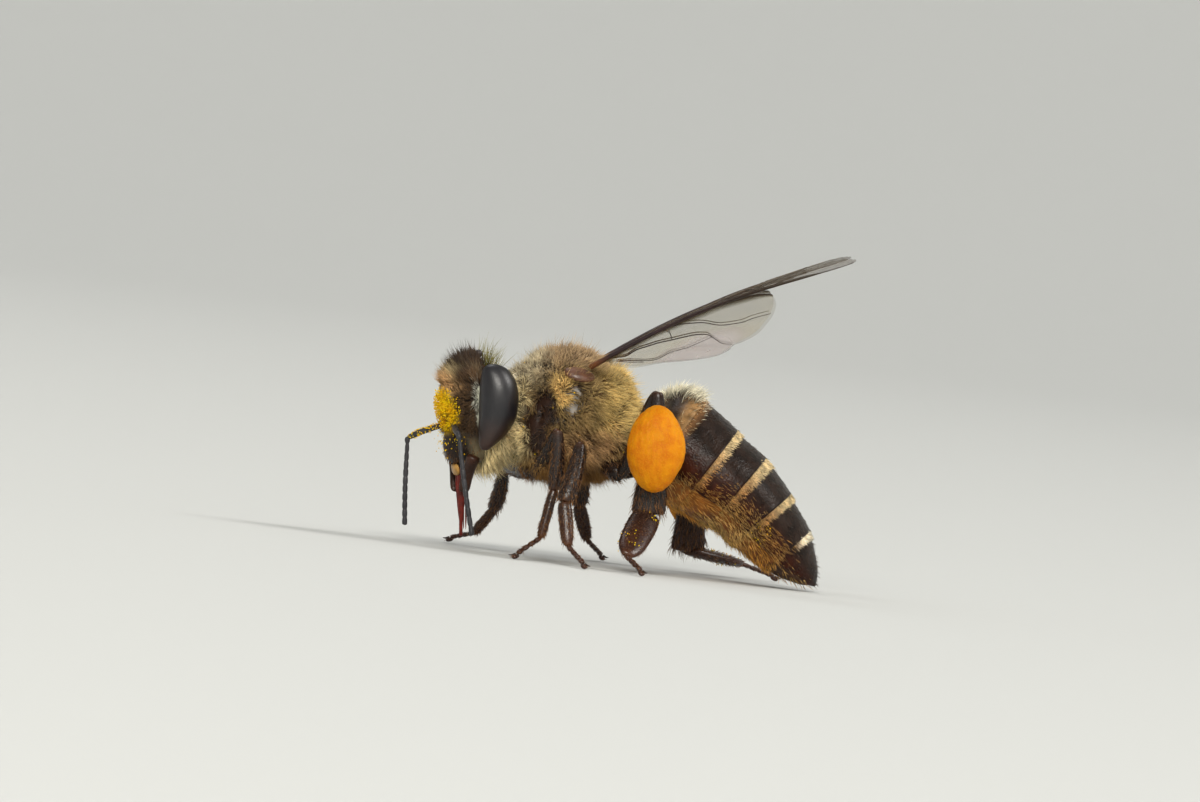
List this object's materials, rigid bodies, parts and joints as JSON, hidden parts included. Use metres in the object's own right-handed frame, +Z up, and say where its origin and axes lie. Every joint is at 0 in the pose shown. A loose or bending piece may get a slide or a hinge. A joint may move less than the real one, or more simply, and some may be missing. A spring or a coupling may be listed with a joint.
{
  "type": "honey bee model",
  "caption": "Still, life-size honey bee worker standing and drinking, wings held back and up, abdomen curved down, a ball of orange pollen on each hind shin.",
  "frame": {"origin": "on the ground under the middle of the whole bee's box", "axes": "the bee faces -Y, its left side is +X, +Z is up"},
  "size_m": [0.0106, 0.0108, 0.0088],
  "materials": {
    "coat": "dense soft hair, pale buff above and tan on the sides",
    "face": "dark horn shell under short hair, dusted with yellow pollen",
    "eye": "black faceted gloss with a broad soft highlight",
    "shell": "blackish brown satin horn with cream hair bands",
    "limb": "dark brown satin horn with short hair",
    "tongue": "reddish brown satin horn",
    "wing": "thin clear membrane, slightly amber, with dark brown veins",
    "pollen": "moist packed pollen grains, bright orange"
  },
  "bodies": {
    "root": {"abdomen_1": "shell", "abdomen_2": "shell", "abdomen_3": "shell", "abdomen_4": "shell", "abdomen_5": "shell", "abdomen_6": "shell", "antenna_flagellum_left": "limb", "antenna_flagellum_right": "limb", "antenna_scape_left": "limb", "antenna_scape_right": "limb", "coxa_fore_left": "limb", "coxa_fore_right": "limb", "coxa_hind_left": "limb", "coxa_hind_right": "limb", "coxa_mid_left": "limb", "coxa_mid_right": "limb", "eye_left": "eye", "eye_right": "eye", "femur_fore_left": "limb", "femur_fore_right": "limb", "femur_hind_left": "limb", "femur_hind_right": "limb", "femur_mid_left": "limb", "femur_mid_right": "limb", "forewing_left": "wing", "forewing_right": "wing", "head": "face", "hindwing_left": "wing", "hindwing_right": "wing", "mandible_left": "shell", "mandible_right": "shell", "metatarsus_fore_left": "limb", "metatarsus_fore_right": "limb", "metatarsus_hind_left": "limb", "metatarsus_hind_right": "limb", "metatarsus_mid_left": "limb", "metatarsus_mid_right": "limb", "neck": "coat", "pollen_load_left": "pollen", "pollen_load_right": "pollen", "proboscis": "tongue", "thorax": "coat", "tibia_fore_left": "limb", "tibia_fore_right": "limb", "tibia_hind_left": "limb", "tibia_hind_right": "limb", "tibia_mid_left": "limb", "tibia_mid_right": "limb", "toes_fore_left": "limb", "toes_fore_right": "limb", "toes_hind_left": "limb", "toes_hind_right": "limb", "toes_mid_left": "limb", "toes_mid_right": "limb", "waist": "coat"}
  },
  "joints": []
}
